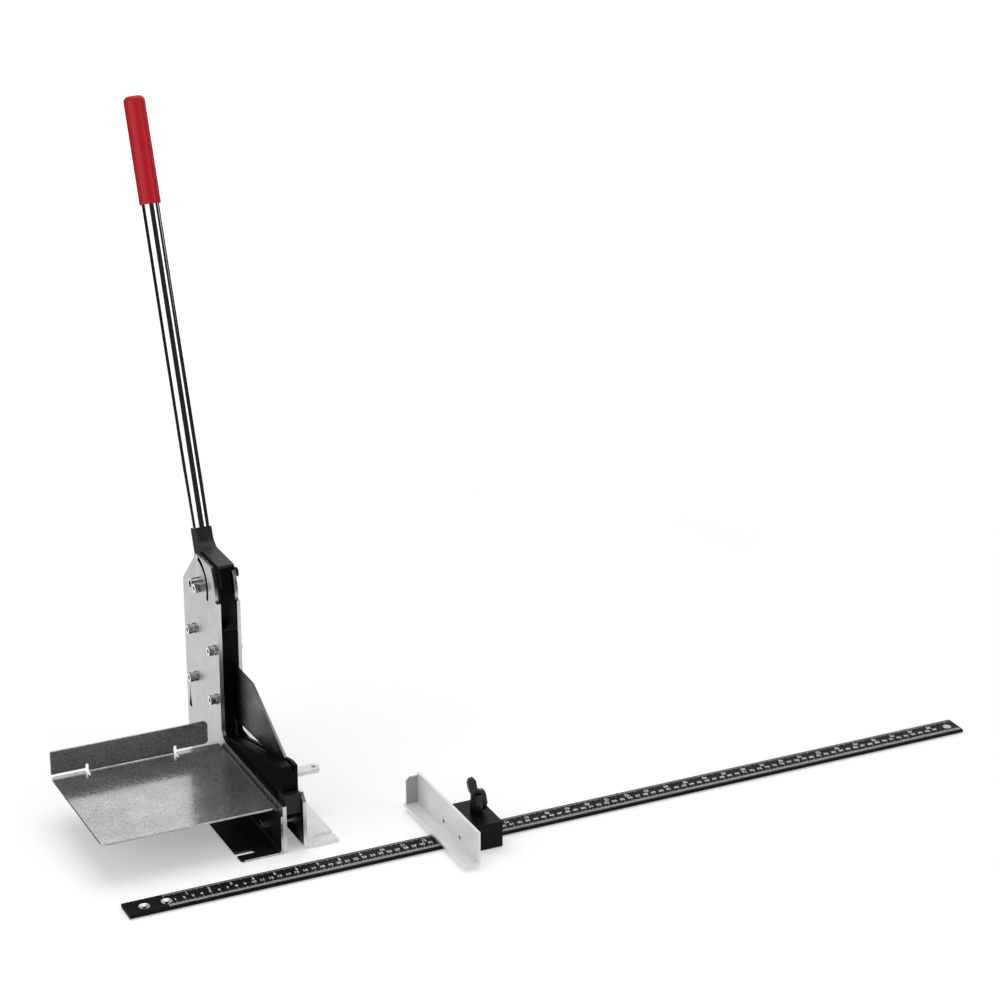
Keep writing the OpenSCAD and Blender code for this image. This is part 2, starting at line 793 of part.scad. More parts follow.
// The head's right half is cut away where it turns down to the blade's arm
module arm_room() {
    c = cover_angle;
    difference() {
        polygon([far * aim(c), far * (aim(c) + aim(c - 90)), far * (aim(c + 180) + aim(c - 90)),
            far * aim(c + 180)]);
        circle(cam_r - blade_arm_r - 1);
    }
}

module lever_head() {
    color("#242325") place() difference() {
        union() {
            at_pivot() plate_at(head_x0, head_x1 - head_x0) {
                circle(hub_r);
                cam_lobe();
                head_nose();
                head_cheek();
                head_neck();
            }
            along_lever(neck_len - 1) cylinder(h = spigot_len + 1, d = spigot_d);
        }
        at_pivot() plate_at(cam_x1, plate_gap) arm_room();
        at_pivot() plate_at(0, cam_x1 + 1) cam_track();
        at_pivot() rod_x(0, right_x1, pivot_d / 2 + run_clear);
        at_pivot() translate([0, 0, arc_r]) rod_x(0, right_x1, stop_pin_d / 2 + pin_clear);
    }
}

module along_lever(r) {
    translate([lever_x, pivot_y, pivot_h]) rotate([-lever_lean, 0, 0]) translate([0, 0, r]) children();
}

module lever_tube() {
    color("#d8dadd") place() along_lever(neck_len) difference() {
        cylinder(h = tube_len, d = tube_d);
        translate([0, 0, -1]) cylinder(h = tube_len + 2, d = tube_d - 2 * tube_wall);
    }
}

module lever_grip() {
    seat = neck_len + tube_len - lever_len + grip_len;
    inner_r = grip_d / 2 - grip_round;
    inner_z = grip_len - grip_round;
    rounding = [for (a = [0:30:90]) [inner_r + grip_round * cos(a), inner_z + grip_round * sin(a)]];
    color("#b5323c") place() along_lever(lever_len - grip_len) difference() {
        rotate_extrude() polygon(concat([[0, 0], [grip_d / 2, 0]], rounding, [[0, grip_len]]));
        translate([0, 0, -1]) cylinder(h = seat + 1, r = tube_d / 2 + pin_clear);
    }
}

module stop_pin() {
    color("dimgray") place() at_pivot() translate([0, 0, arc_r]) rod_x(0, right_x1, stop_pin_d / 2);
}

module guide_slot(y, half) {
    translate([y, screw_low]) circle(half);
    translate([y - half, screw_low]) square([2 * half, blade_stroke]);
    translate([y, screw_low + blade_stroke]) circle(half);
}

module blade() {
    tail_y = column_screws_y[1] + blade_tail;
    arm_half = blade_arm_r - 1;
    color("lightgray") place() difference() {
        union() {
            plate_at(blade_x0, blade_t) polygon([[blade_tip_y, blade_edge_tip], [blade_tip_y, blade_tip_h],
                [column_y0 - blade_knee, blade_top], [pivot_y - arm_half, blade_top],
                [pivot_y - arm_half, follower_z], [pivot_y + arm_half, follower_z],
                [pivot_y + arm_half, blade_top], [tail_y, blade_top], [tail_y, blade_edge_rear],
                [column_y0, blade_edge_rear]]);
            translate([0, pivot_y, follower_z]) rod_x(blade_x0, blade_x1, blade_arm_r);
        }
        plate_at(blade_x0 - 1, blade_t + 2) {
            guide_slot(column_screws_y[0], screw_d / 2 + slide_clear);
            guide_slot(column_screws_y[1], sleeve_d / 2 + slide_clear);
        }
        translate([0, pivot_y, follower_z])
            rod_x(blade_x0 - 1, blade_x1 + 1, follower_pin_d / 2 + pin_clear);
    }
}

module blade_follower() {
    color("dimgray") place() translate([0, pivot_y, follower_z]) {
        rod_x(head_x0 + 1, blade_x0, follower_d / 2);
        rod_x(head_x0 + 1, blade_x1, follower_pin_d / 2);
    }
}

// Rail section with its lower edges undercut, grown by a clearance
module rail_section(grow) {
    w = rail_w + grow;
    u = rail_undercut;
    z1 = rail_t + grow;
    polygon([[u - grow, -grow], [rail_w - u + grow, -grow], [w, u - grow], [w, z1],
        [-grow, z1], [-grow, u - grow]]);
}

module rail_holes(z0, z1) {
    for (x = rail_screws_x) translate([x, rail_mid_y, z0])
        cylinder(h = z1 - z0, r = small_d / 2 + pin_clear);
    translate([rail_x0 + rail_len - rail_hole_x, rail_mid_y, z0]) cylinder(h = z1 - z0, d = rail_hole_d);
}

module rail_sinks() {
    for (x = rail_screws_x) translate([x, rail_mid_y, rail_t - rail_sink_h])
        cylinder(h = rail_sink_h + 0.01, r1 = small_d / 2 + pin_clear, r2 = rail_head_d / 2 + pin_clear);
}

module stop_rail() {
    color("#2a2a2c") place() difference() {
        translate([rail_x0, rail_y0, 0]) plate_at(0, rail_len) rail_section(0);
        translate([rail_x0 - 1, rail_mid_y - scale_w / 2, rail_t - scale_t])
            cube([rail_len + 2, scale_w, scale_t + 1]);
        rail_holes(-1, rail_t + 1);
        rail_sinks();
    }
}

module scale_strip() {
    color("#77736f") place() difference() {
        translate([rail_x0, rail_mid_y - scale_w / 2, rail_t - scale_t]) cube([rail_len, scale_w, scale_t]);
        rail_holes(-1, rail_t + 1);
        rail_sinks();
    }
}

module rail_screws() {
    color("silver") place() for (x = rail_screws_x) translate([x, rail_mid_y, 0]) {
        cylinder(h = rail_t - rail_sink_h + 0.01, d = small_d);
        translate([0, 0, rail_t - rail_sink_h]) cylinder(h = rail_sink_h, d1 = small_d, d2 = rail_head_d);
    }
}

module angle_screw_holes(x0, x1) {
    for (y = angle_screws_y) translate([0, y, angle_screw_z]) rod_x(x0, x1, small_d / 2 + pin_clear);
}

module carriage_block() {
    color("#29292b") place() difference() {
        translate([block_x0, block_y0, block_low]) cube([block_w, block_d, block_h]);
        translate([block_x0 - 1, rail_y0, 0]) plate_at(0, block_w + 2) rail_section(slide_clear);
        translate([knob_x, knob_y, rail_t]) cylinder(h = block_top, r = knob_screw_d / 2 + run_clear);
        angle_screw_holes(block_x0 - 1, block_x0 + angle_grip);
    }
}

module stop_angle() {
    x1 = block_x0;
    color("whitesmoke") place() difference() {
        run_y(angle_y0, angle_y0 + angle_len) translate([0, angle_low]) {
            translate([x1 - angle_t, 0]) square([angle_t, angle_h]);
            translate([x1 - angle_w, 0]) square([angle_w, angle_t]);
        }
        angle_screw_holes(x1 - angle_t - 1, x1 + 1);
        for (y = angle_screws_y) translate([x1 - angle_t - 0.01, y, angle_screw_z]) rotate([0, 90, 0])
            cylinder(h = sink_h, r1 = small_d / 2 + sink_h + pin_clear, r2 = small_d / 2 + pin_clear);
    }
}

module end_stop() {
    x1 = block_x0 - angle_t;
    c = end_w / 3;
    y1 = angle_y0 + angle_len;
    color("gray") place() translate([0, y1, angle_low + angle_t]) rotate([90, 0, 0]) linear_extrude(end_t)
        polygon([[x1 - end_w, 0], [x1, 0], [x1, end_h], [x1 - end_w + c, end_h], [x1 - end_w, end_h - c]]);
}

module angle_screws() {
    x0 = block_x0 - angle_t;
    color("dimgray") place() for (y = angle_screws_y) translate([0, y, angle_screw_z]) {
        translate([x0, 0, 0]) rotate([0, 90, 0])
            cylinder(h = sink_h, r1 = small_d / 2 + sink_h, r2 = small_d / 2);
        rod_x(x0 + sink_h - 0.01, block_x0 + angle_grip - 1, small_d / 2);
    }
}

// Clamp knob: a round hub with a thumb wing that rises at one side
module clamp_knob() {
    r = knob_d / 2;
    top = knob_h + wing_h;
    color("#1f1f21") place() translate([knob_x, knob_y, block_top + pad_clear]) {
        cylinder(h = knob_h, r1 = r, r2 = r * 0.9);
        translate([0, wing_t / 2, 0]) rotate([90, 0, 0]) linear_extrude(wing_t)
            polygon([[-r * 1.45, top - 5], [-r * 1.2, top - 0.5], [-r * 0.5, top], [-r * 0.2, top - 4],
                [0, knob_h + 7], [r * 0.4, knob_h + 4], [r * 1.15, knob_h + 3], [r * 1.4, knob_h - 2],
                [r * 1.65, knob_h - 13], [r * 1.4, 3.5], [r * 1.05, 2], [r * 0.85, 6], [r * 0.65, 14],
                [-r * 0.8, knob_h - 2], [-r * 1.15, knob_h + 3], [-r * 1.35, knob_h + 9]]);
        translate([0, 0, rail_t + slide_clear - block_top])
            cylinder(h = block_top - rail_t + 1, d = knob_screw_d);
    }
}

feed_table();
left_plate();
right_plate();
front_guide_bar();
base_spacer();
die_block();
die_screws();
spacer_screws();
base_bolts();
base_sleeves();
base_nuts();
column_screws();
column_washers();
column_nuts();
rear_sleeves();
pivot_bolt();
pivot_nut();
keeper_screw();
side_screw();
support_arm();
arm_screws();
lever_head();
lever_tube();
lever_grip();
stop_pin();
blade();
blade_follower();
stop_rail();
scale_strip();
rail_screws();
carriage_block();
stop_angle();
end_stop();
angle_screws();
clamp_knob();
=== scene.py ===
"""Wiring duct cutter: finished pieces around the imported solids, in metres, in the solids' own frame."""
import json
import math

import bmesh
import bpy
from bpy.props import FloatProperty, FloatVectorProperty, PointerProperty
from bpy.types import Operator, Panel, PropertyGroup
from mathutils import Matrix, Vector


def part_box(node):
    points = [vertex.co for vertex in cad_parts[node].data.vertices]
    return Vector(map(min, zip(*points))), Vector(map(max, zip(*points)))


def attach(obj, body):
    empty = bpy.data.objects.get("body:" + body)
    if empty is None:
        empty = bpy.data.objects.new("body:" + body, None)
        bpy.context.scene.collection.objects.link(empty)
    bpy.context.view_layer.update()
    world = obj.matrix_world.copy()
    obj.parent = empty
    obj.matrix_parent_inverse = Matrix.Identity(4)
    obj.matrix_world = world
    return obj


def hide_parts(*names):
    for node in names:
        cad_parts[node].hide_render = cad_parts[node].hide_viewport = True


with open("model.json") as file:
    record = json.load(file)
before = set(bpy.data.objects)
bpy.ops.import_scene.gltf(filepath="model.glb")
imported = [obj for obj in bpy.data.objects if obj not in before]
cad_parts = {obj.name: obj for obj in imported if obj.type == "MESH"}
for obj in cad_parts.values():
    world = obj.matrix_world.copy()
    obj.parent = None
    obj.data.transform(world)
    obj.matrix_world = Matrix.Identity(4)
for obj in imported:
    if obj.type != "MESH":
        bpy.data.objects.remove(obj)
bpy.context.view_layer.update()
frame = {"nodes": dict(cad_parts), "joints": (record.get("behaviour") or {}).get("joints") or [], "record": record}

bl_info = {
    "name": "Wiring Duct Cutter",
    "version": (1, 0, 0),
    "blender": (4, 5, 0),
    "location": "3D View > Sidebar > Duct Cutter",
    "description": "Builds the finished pieces of a bench cutter for wiring duct and its length stop",
    "category": "Add Mesh",
}

NODES = frame["nodes"]
RECORD = frame["record"]
BODY_OF = {node: body for body, members in RECORD["behaviour"]["bodies"].items() for node in members}
SLOT_OF = {row["node"]: row["material_slot"] for row in RECORD["subparts"]}
PIVOT = Vector(next(joint for joint in frame["joints"] if joint["name"] == "lever_pivot")["pos_m"])
RAIL_HOLE = next(mount for mount in RECORD["mounts"] if mount["name"] == "rail_hole")
HOLE_AT = Vector(RAIL_HOLE["pos_m"])
HOLE_R = RAIL_HOLE["dims"]["r_mm"] / 1000

# Vertices nearer than this are one.
MERGE = 1e-6

# Angles between neighbouring faces: joined below the first, creased and bevelled above the others.
FLAT_ANGLE = math.radians(0.5)
SHARP_ANGLE = math.radians(34)
EDGE_ANGLE = math.radians(35)

# Faces across a bevel, round a turned piece and along the grip's roundings.
BEVEL_STEPS = 3
TUBE_STEPS = 96
GRIP_STEPS = 72
SCREW_STEPS = 48
LIP_STEPS = 4
ROUND_STEPS = 10

# Cosines that tell which way a face looks: along an axis, leaning to it, or across it.
ALONG = 0.9
LEANING = 0.7
ACROSS = 0.3

# Places at which the finishes change, measured from the solids.
# The plates' faces that look at each other within this reach, the left leg's top below this height and the arc
# slots' walls between these radii take painted shade.
BETWEEN_PLATES_X = (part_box("left_plate")[1].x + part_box("right_plate")[0].x) / 2
PLATE_REACH = 0.012
LEG_TOP_BELOW = PIVOT.z - 0.11
ARC_INNER_R = 0.027
ARC_OUTER_R = 0.0351
# The sheet's inner faces below this height take painted shade.
TABLE_INSIDE_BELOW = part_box("die_block")[0].z - 0.003
NECK_ABOVE = PIVOT.z + 0.0395
HOLE_WALL_R = HOLE_R + 0.0006
# Socket faces within this share of a head's width from its axis, and inside this skin, are black as painted shade.
SOCKET_SHARE = 0.31
SOCKET_SKIN = 0.0005

# Faces round a screw head: their least and greatest length, their least share of the widest face's area,
# and how far their normals may lean along the screw.
HEAD_SHORT = 0.002
HEAD_LONG = 0.0105
HEAD_SHARE = 0.25
HEAD_LEAN = 0.02

# Lengths of the scale's marks, each for the first step that divides the mark's number.
MILLIMETRE = 0.001
MILLIMETRES = 1000
MILLIMETRE_MARKS = ((10, 0.0070), (5, 0.0056), (1, 0.0044))
INCH = 0.0254
INCH_PARTS = 16
INCH_MARK_COUNT = 39 * INCH_PARTS + 6
INCH_MARKS = ((16, 0.0056), (8, 0.0046), (4, 0.0036), (1, 0.0026))
CENTIMETRE_NUMBERS = range(1, 100)
INCH_NUMBERS = range(1, 40)
EM_PER_FIGURE = 1.4

# Most of a grain's values lie in this range; a bump of full strength has this height.
GRAIN_RANGE = (0.3, 0.7)
BUMP_HEIGHT = 0.0001

# Lamps: name, place, aim, width, height and radiance.
SOFTBOXES = (
    ("left_softbox", (-1.95, -0.50, 1.0), (0.0, 0.15, 0.5), 2.4, 1.7, 1.25),
    ("right_softbox", (1.73, -1.67, 1.0), (0.0, 0.15, 0.5), 1.1, 1.7, 1.35),
    ("top_softbox", (0.3, 0.5, 3.0), (0.3, 0.0, 0.0), 3.0, 3.0, 1.5),
)
CAMERA_AT = (-1.0821, -2.9792, 1.6638)
CAMERA_LOOK = (0.3983, 0.8376, -0.3740)
SENSOR_WIDTH = 36.0
CAMERA_REACH = 200.0

# Floor: its level under the solids, and where its lift begins and ends, from the origin.
FLOOR_Z = -0.0003
LIFT_FROM = 0.9
LIFT_TO = 2.6

# Dark cards that reflections see: one under the table as painted shadow, one far round the cutter, and a dome open
# at the back right.
UNDER_CARD_AT = (-0.085, 0.05, -0.0001)
UNDER_CARD_SIZE = (0.30, 0.27)
UNDER_CARD_SHADE = 0.01
FAR_CARD_AT = (0.1, 0.1, 0.0005)
FAR_CARD_RADII = (0.95, 29.0)
FAR_CARD_SHADE = 0.02
DOME_RADIUS = 7.0
DOME_OPEN_FROM = -10.0
DOME_OPEN_TO = 85.0
DOME_OPEN_BELOW = 5.2
DOME_SHADE = 0.05


def length(name, description, default):
    """A length property in metres."""
    return FloatProperty(name=name, description=description, default=default, min=0.0, precision=5,
                         unit="LENGTH")


def colour(name, description, default):
    """A colour property, scene linear."""
    return FloatVectorProperty(name=name, description=description, default=default, size=3, min=0.0,
                               max=1.0, subtype="COLOR")


def share(name, description, default):
    """A property from 0 to 1."""
    return FloatProperty(name=name, description=description, default=default, min=0.0, max=1.0,
                         subtype="FACTOR")


class DuctCutterEdges(PropertyGroup):
    """Widths of the broken edges."""
    plate: length("Plate edge", "Broken edge of the side plates", 0.0004)
    sheet: length("Sheet edge", "Broken edge of the bent table sheet", 0.0003)
    block: length("Block edge", "Broken edge of the die, the guide bar, the spacer and the carriage", 0.0006)
    head: length("Head edge", "Broken edge of the lever head", 0.0009)
    screw: length("Screw edge", "Broken edge of the fasteners and the blade", 0.0003)
    rail: length("Rail edge", "Broken edge of the rail", 0.0004)
    knob: length("Knob edge", "Rounded edge of the knob", 0.0013)


class DuctCutterLever(PropertyGroup):
    """Sizes of the tube and the grip, along the lever from the pivot."""
    lean: FloatProperty(name="Lean", description="Lean of the lever behind the vertical at rest",
                        default=math.radians(20.3), unit="ROTATION")
    tube_low: length("Tube start", "Lower end of the tube", 0.062)
    tube_high: length("Tube end", "Upper end of the tube, inside the grip", 0.551)
    tube_r: length("Tube radius", "Outer radius of the tube", 0.010)
    tube_rim: length("Tube rim", "Broken edge at the tube's ends", 0.0004)
    bore_r: length("Bore radius", "Inner radius of the tube", 0.008)
    grip_low: length("Grip start", "Lower end of the grip", 0.4345)
    grip_high: length("Grip end", "Upper end of the grip", 0.5582)
    grip_r: length("Grip radius", "Radius of the grip", 0.0123)
    grip_round: length("Grip rounding", "Rounding at the grip's closed end", 0.006)
    grip_lip: length("Grip lip", "Rounding at the grip's open end", 0.0007)
    grip_fit: length("Grip fit", "Room between the tube and the grip round it", 0.00003)
    grip_seat: length("Grip seat", "Room between the tube's end and the grip", 0.0002)


class DuctCutterScrews(PropertyGroup):
    """Sizes of the details on the screws."""
    groove: length("Groove depth", "Depth of the grooves round a screw head", 0.00025)
    land: length("Groove land", "Half of the land between two grooves", 0.00013)
    cross_long: length("Cross length", "Length of a recess in the angle's screws", 0.0052)
    cross_wide: length("Cross width", "Width of a recess in the angle's screws", 0.0016)
    cross_proud: length("Cross face", "Height of the dark cross over the screw's head", 0.00003)
    cross_deep: length("Cross depth", "Depth of the dark cross in the screw's head", 0.0002)
    foot_r: length("Foot radius", "Radius of a rail screw's foot", 0.0025)
    foot_h: length("Foot height", "Height of a rail screw's foot", 0.001)
    dish_rim: length("Dish rim", "Width of the rim round a rail screw's dish", 0.0004)
    dish_r: length("Dish radius", "Radius of the dish's floor", 0.0024)
    dish_deep: length("Dish depth", "Depth of the dish", 0.0021)
    socket_r: length("Socket radius", "Radius of the dark centre's floor", 0.0019)
    socket_deep: length("Socket depth", "Depth of the dark centre", 0.0030)


class DuctCutterFinishes(PropertyGroup):
    """Colours of the finishes."""
    zinc: colour("Zinc", "Zinc-plated side plates", (0.74, 0.74, 0.735))
    sheet: colour("Galvanised sheet", "Bent table sheet", (0.58, 0.585, 0.575))
    black: colour("Black oxide", "Head, die and guide bar", (0.0036, 0.0034, 0.0033))
    spacer: colour("Spacer", "Brown-grey spacer under the die", (0.020, 0.016, 0.014))
    screw: colour("Screw steel", "Fasteners", (0.84, 0.835, 0.825))
    blade: colour("Blade steel", "Ground blade", (0.20, 0.198, 0.195))
    chrome: colour("Chrome", "Lever tube", (0.86, 0.86, 0.87))
    grip: colour("Grip", "Red grip sleeve", (0.52, 0.011, 0.021))
    rail: colour("Rail", "Black rail", (0.0055, 0.0055, 0.0055))
    marks: colour("Marks", "White marks on the scale", (0.86, 0.86, 0.85))
    plastic: colour("Plastic", "Carriage block and knob", (0.0060, 0.0058, 0.0056))
    aluminium: colour("Aluminium", "Angle and end stop", (0.86, 0.86, 0.86))


class DuctCutterScale(PropertyGroup):
    """Marks and numbers of the scale."""
    zero_x: length("Zero past the end", "Distance of the zero mark from the rail's near end", 0.0463)
    tick: length("Mark width", "Width of the marks", 0.00032)
    near_margin: length("Near margin", "Room between the rail's near edge and the marks", 0.0032)
    far_margin: length("Far margin", "Room between the rail's far edge and the marks", 0.0012)
    end_margin: length("End margin", "Room between the last mark and the rail's end", 0.0005)
    near_row: length("Near row", "Distance of the centimetre numbers from the near edge", 0.0150)
    far_row: length("Far row", "Distance of the inch numbers from the near edge", 0.0215)
    hole_clear: length("Hole margin", "Room that the numbers leave round the rail's hole", 0.008)
    figure: length("Figure height", "Height of the numbers", 0.0043)
    bold: length("Figure weight", "Growth of the numbers' strokes", 0.00012)
    film: length("Print height", "Height of the print over the scale", 0.00005)


class DuctCutterStage(PropertyGroup):
    """Floor, world and camera."""
    floor: colour("Floor", "Pale floor", (0.80, 0.80, 0.80))
    floor_size: length("Floor size", "Side of the floor", 60.0)
    lift: share("Floor lift", "Light that the floor adds where it is seen near the cutter", 0.30)
    far_lift: share("Far lift", "Light that the floor adds where it is seen far from the cutter", 0.65)
    ambient: share("Ambient", "Light from all round", 0.45)
    lens: FloatProperty(name="Lens", description="Focal length of the camera", default=113.3, unit="CAMERA")


class DuctCutter(PropertyGroup):
    """All values of the cutter."""
    edges: PointerProperty(type=DuctCutterEdges)
    lever: PointerProperty(type=DuctCutterLever)
    screws: PointerProperty(type=DuctCutterScrews)
    finishes: PointerProperty(type=DuctCutterFinishes)
    scale: PointerProperty(type=DuctCutterScale)
    stage: PointerProperty(type=DuctCutterStage)


def values():
    """The cutter's property values."""
    return bpy.context.scene.duct_cutter


# Materials

def add_node(tree, kind, inputs=None, **settings):
    """A shader node with its settings and inputs; an input that is a socket is linked."""
    node = tree.nodes.new("ShaderNode" + kind)
    for name, value in settings.items():
        setattr(node, name, value)
    for name, value in (inputs or {}).items():
        if isinstance(value, bpy.types.NodeSocket):
            tree.links.new(value, node.inputs[name])
        else:
            node.inputs[name].default_value = value
    return node


def new_material(name):
    """A material with its node tree and its principled shader."""
    material = bpy.data.materials.new(name)
    material.use_nodes = True
    return material, material.node_tree, material.node_tree.nodes["Principled BSDF"]


def place_of(tree):
    """Object coordinates."""
    return add_node(tree, "TexCoord").outputs["Object"]


def stretched(tree, scales):
    """Object coordinates, stretched by scales per metre along X, Y and Z."""
    return add_node(tree, "Mapping", {"Vector": place_of(tree), "Scale": scales}).outputs["Vector"]


def grain(tree, scales, detail=3.0):
    """Noise on stretched object coordinates."""
    place = stretched(tree, scales)
    return add_node(tree, "TexNoise", {"Vector": place, "Scale": 1.0, "Detail": detail}).outputs["Fac"]


def flakes(tree, per_metre):
    """A grey value for each flake of a crystalline coat."""
    place = stretched(tree, (per_metre,) * 3)
    cells = add_node(tree, "TexVoronoi", {"Vector": place, "Scale": 1.0}).outputs["Color"]
    return add_node(tree, "SeparateColor", {"Color": cells}).outputs["Red"]


def ramp(tree, factor, low, high, start=GRAIN_RANGE[0], end=GRAIN_RANGE[1]):
    """A colour that goes from low to high as the factor goes from start to end."""
    node = add_node(tree, "ValToRGB", {"Fac": factor})
    node.color_ramp.elements[0].position = start
    node.color_ramp.elements[1].position = end
    node.color_ramp.elements[0].color = (*low, 1.0)
    node.color_ramp.elements[1].color = (*high, 1.0)
    return node.outputs["Color"]


def span(tree, factor, low, high, start, end):
    """A value that goes from low to high as the factor goes from start to end."""
    limits = {"Value": factor, "From Min": start, "From Max": end, "To Min": low, "To Max": high}
    return add_node(tree, "MapRange", limits).outputs["Result"]


def tint(base, factor):
    """A colour made lighter or darker."""
    return tuple(min(1.0, max(0.0, c * factor)) for c in base)


def multiplied(tree, first, second):
    """Two colours multiplied."""
    node = add_node(tree, "Mix", data_type="RGBA", blend_type="MULTIPLY")
    node.inputs[0].default_value = 1.0
    tree.links.new(first, node.inputs[6])
    tree.links.new(second, node.inputs[7])
    return node.outputs[2]


def fade(tree, axis, start, end, dark):
    """Painted shade: white before one place on an axis, falling to a dark grey at another."""
    along = add_node(tree, "SeparateXYZ", {"Vector": place_of(tree)}).outputs[axis]
    return ramp(tree, span(tree, along, 0.0, 1.0, start, end), (1.0,) * 3, (dark,) * 3, 0.0, 1.0)


def finish_of(name, base, metallic, rough, spread, bump, stretch=None, crystal=None, blotch=40.0,
              specular=0.5, shade=None):
    """A finish with fine grain, or flakes, and large blotches.

    Colour varies by spread and roughness between the two values of rough. The grain is stretched per metre
    along X, Y and Z, or crystal gives the flakes per metre. Shade is painted shade, a fade along an axis.
    """
    known = bpy.data.materials.get(name)
    if known:
        return known
    material, tree, shader = new_material(name)
    fine = flakes(tree, crystal) if crystal else grain(tree, stretch)
    edge = (0.0, 1.0) if crystal else GRAIN_RANGE
    wide = grain(tree, (blotch,) * 3, 2.0)
    fine_colour = ramp(tree, fine, tint(base, 1 - spread), tint(base, 1 + spread), *edge)
    wide_colour = ramp(tree, wide, (1 - spread,) * 3, (1.0,) * 3)
    colours = multiplied(tree, fine_colour, wide_colour)
    if shade:
        colours = multiplied(tree, colours, fade(tree, *shade))
    tree.links.new(colours, shader.inputs["Base Color"])
    tree.links.new(span(tree, fine, *rough, *edge), shader.inputs["Roughness"])
    shader.inputs["Metallic"].default_value = metallic
    shader.inputs["Specular IOR Level"].default_value = specular
    normal = add_node(tree, "Bump", {"Height": fine, "Strength": bump, "Distance": BUMP_HEIGHT})
    tree.links.new(normal.outputs["Normal"], shader.inputs["Normal"])
    return material


def zinc():
    """Zinc plate, brushed upright."""
    return finish_of("brushed_zinc", values().finishes.zinc, metallic=1.0, rough=(0.24, 0.42), spread=0.13,
                     bump=0.12, stretch=(600, 240, 6))


def grey_zinc():
    """Zinc plate of the left plate's outer face, a little darker as painted shade, so that it reflects the left
    softbox less brightly.
    """
    return finish_of("grey_zinc", tint(values().finishes.zinc, 0.76), metallic=1.0, rough=(0.24, 0.42),
                     spread=0.13, bump=0.12, stretch=(600, 240, 6))


def dull_zinc():
    """Zinc plate between the plates, in the arc slots and on top of the left leg, with painted shade: dark above
    the feet, lighter near the floor.
    """
    return finish_of("dull_zinc", tint(values().finishes.zinc, 1.3), metallic=1.0, rough=(0.30, 0.48),
                     spread=0.20, bump=0.12, stretch=(600, 240, 6), shade=("Z", 0.010, 0.034, 0.10))


def galvanised():
    """Galvanised sheet with small flakes."""
    return finish_of("flaked_sheet", values().finishes.sheet, metallic=0.84, rough=(0.10, 0.22), spread=0.24,
                     bump=0.06, crystal=680.0, blotch=25.0)


def dull_sheet():
    """The sheet's inner side, dark and dull: painted shade under the table, along the web and on the flange."""
    return finish_of("dull_sheet", tint(values().finishes.sheet, 0.035), metallic=0.6, rough=(0.35, 0.50),
                     spread=0.25, bump=0.10, crystal=620.0, blotch=25.0)


def black_oxide():
    """Blackened steel."""
    return finish_of("black_oxide", values().finishes.black, metallic=0.0, rough=(0.36, 0.54), spread=0.30,
                     bump=0.15, stretch=(700, 700, 700), specular=0.06)


def worn_black():
    """Blackened steel, rubbed to a dark brown-grey."""
    return finish_of("worn_black", tint(values().finishes.black, 8.0), metallic=0.0, rough=(0.30, 0.48),
                     spread=0.35, bump=0.15, stretch=(700, 700, 90), specular=0.30)


def spacer_steel():
    """Dull brown-grey steel."""
    return finish_of("brown_steel", values().finishes.spacer, metallic=0.3, rough=(0.40, 0.58), spread=0.22,
                     bump=0.15, stretch=(800, 800, 60))


def screw_steel():
    """Bright screw steel."""
    return finish_of("bright_steel", values().finishes.screw, metallic=1.0, rough=(0.08, 0.18), spread=0.08,
                     bump=0.08, stretch=(1200, 1200, 1200))


def dished_steel():
    """Satin steel of the rail's screws."""
    return finish_of("dished_steel", values().finishes.screw, metallic=0.65, rough=(0.20, 0.30), spread=0.08,
                     bump=0.08, stretch=(1200, 1200, 1200))


def blade_steel():
    """Ground steel with its grain along the blade, and a painted dark reflection that darkens it towards the
    column.
    """
    # Painted reflection: the colour falls to dark between these places along Y.
    low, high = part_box("blade")
    start, end = low.lerp(high, 0.10).y, low.lerp(high, 0.62).y
    return finish_of("ground_steel", values().finishes.blade, metallic=1.0, rough=(0.24, 0.38), spread=0.14,
                     bump=0.08, stretch=(900, 30, 900), shade=("Y", start, end, 0.03))


def chrome():
    """Chrome plate."""
    return finish_of("chrome_plate", values().finishes.chrome, metallic=1.0, rough=(0.04, 0.08), spread=0.03,
                     bump=0.004, stretch=(300, 300, 40))


def grip_vinyl():
    """Satin red vinyl."""
    return finish_of("grip_vinyl", values().finishes.grip, metallic=0.0, rough=(0.24, 0.34), spread=0.10,
                     bump=0.08, stretch=(1500, 1500, 1500), specular=0.26)


def rail_black():
    """Black anodised rail."""
    return finish_of("rail_black", values().finishes.rail, metallic=0.0, rough=(0.40, 0.52), spread=0.25,
                     bump=0.10, stretch=(60, 900, 900), specular=0.06)


def scale_black():
    """Black face under the printed marks."""
    return finish_of("scale_black", tint(values().finishes.rail, 1.2), metallic=0.0, rough=(0.42, 0.54),
                     spread=0.22, bump=0.06, stretch=(600, 600, 600), specular=0.08)


def mark_white():
    """White print."""
    return finish_of("mark_white", values().finishes.marks, metallic=0.0, rough=(0.50, 0.60), spread=0.06,
                     bump=0.02, stretch=(900, 900, 900))


def moulded_black():
    """Moulded black plastic."""
    return finish_of("moulded_black", values().finishes.plastic, metallic=0.0, rough=(0.34, 0.46),
                     spread=0.25, bump=0.14, stretch=(1400, 1400, 1400), specular=0.10)


def glossy_black():
    """Moulded black plastic, worn smooth by hand."""
    return finish_of("glossy_black", values().finishes.plastic, metallic=0.0, rough=(0.18, 0.30), spread=0.25,
                     bump=0.08, stretch=(1400, 1400, 1400), specular=0.32)


def satin_aluminium():
    """Anodised aluminium, drawn along its length."""
    return finish_of("satin_aluminium", values().finishes.aluminium, metallic=0.35, rough=(0.38, 0.50),
                     spread=0.05, bump=0.06, stretch=(900, 40, 900))


def dull_aluminium():
    """Anodised aluminium at half brightness, as painted shade on the end stop."""
    return finish_of("dull_aluminium", tint(values().finishes.aluminium, 0.5), metallic=0.35,
                     rough=(0.38, 0.50), spread=0.06, bump=0.06, stretch=(900, 900, 40))


# Meshes

